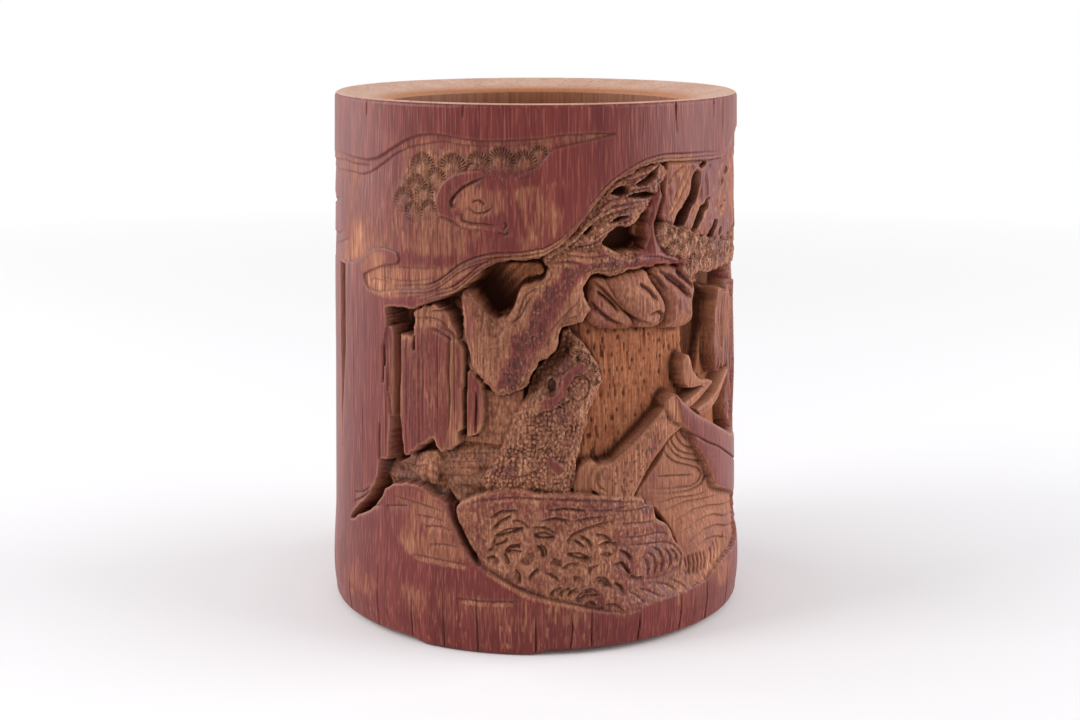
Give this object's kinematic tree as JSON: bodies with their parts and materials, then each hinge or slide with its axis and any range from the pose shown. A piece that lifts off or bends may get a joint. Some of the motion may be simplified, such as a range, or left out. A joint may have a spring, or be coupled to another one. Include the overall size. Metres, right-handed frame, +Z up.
{
  "type": "bamboo brush vase",
  "caption": "Upright round bamboo brush pot with a thick wall carved in deep relief with a landscape, a broad plain rim, low feet and a let-in floor; holds writing brushes upright.",
  "frame": {"origin": "centre of the base, on the surface the pot stands on", "axes": "+Z up along the culm to the mouth; -Y towards the pictured side with the carved landscape; +X to the right of that view"},
  "size_m": [0.1216, 0.1216, 0.149],
  "materials": {
    "carved_bamboo": "burgundy stained bamboo, polished skin and scraped tan carving",
    "floor_wood": "plain turned wood",
    "lacquer_putty": null,
    "bamboo_peg": "split bamboo"
  },
  "bodies": {
    "root": {"culm_wall": "carved_bamboo", "floor_disc": "floor_wood", "floor_putty_bead": "lacquer_putty", "floor_peg_1": "bamboo_peg", "floor_peg_2": "bamboo_peg", "floor_peg_3": "bamboo_peg", "floor_peg_4": "bamboo_peg"}
  },
  "joints": []
}
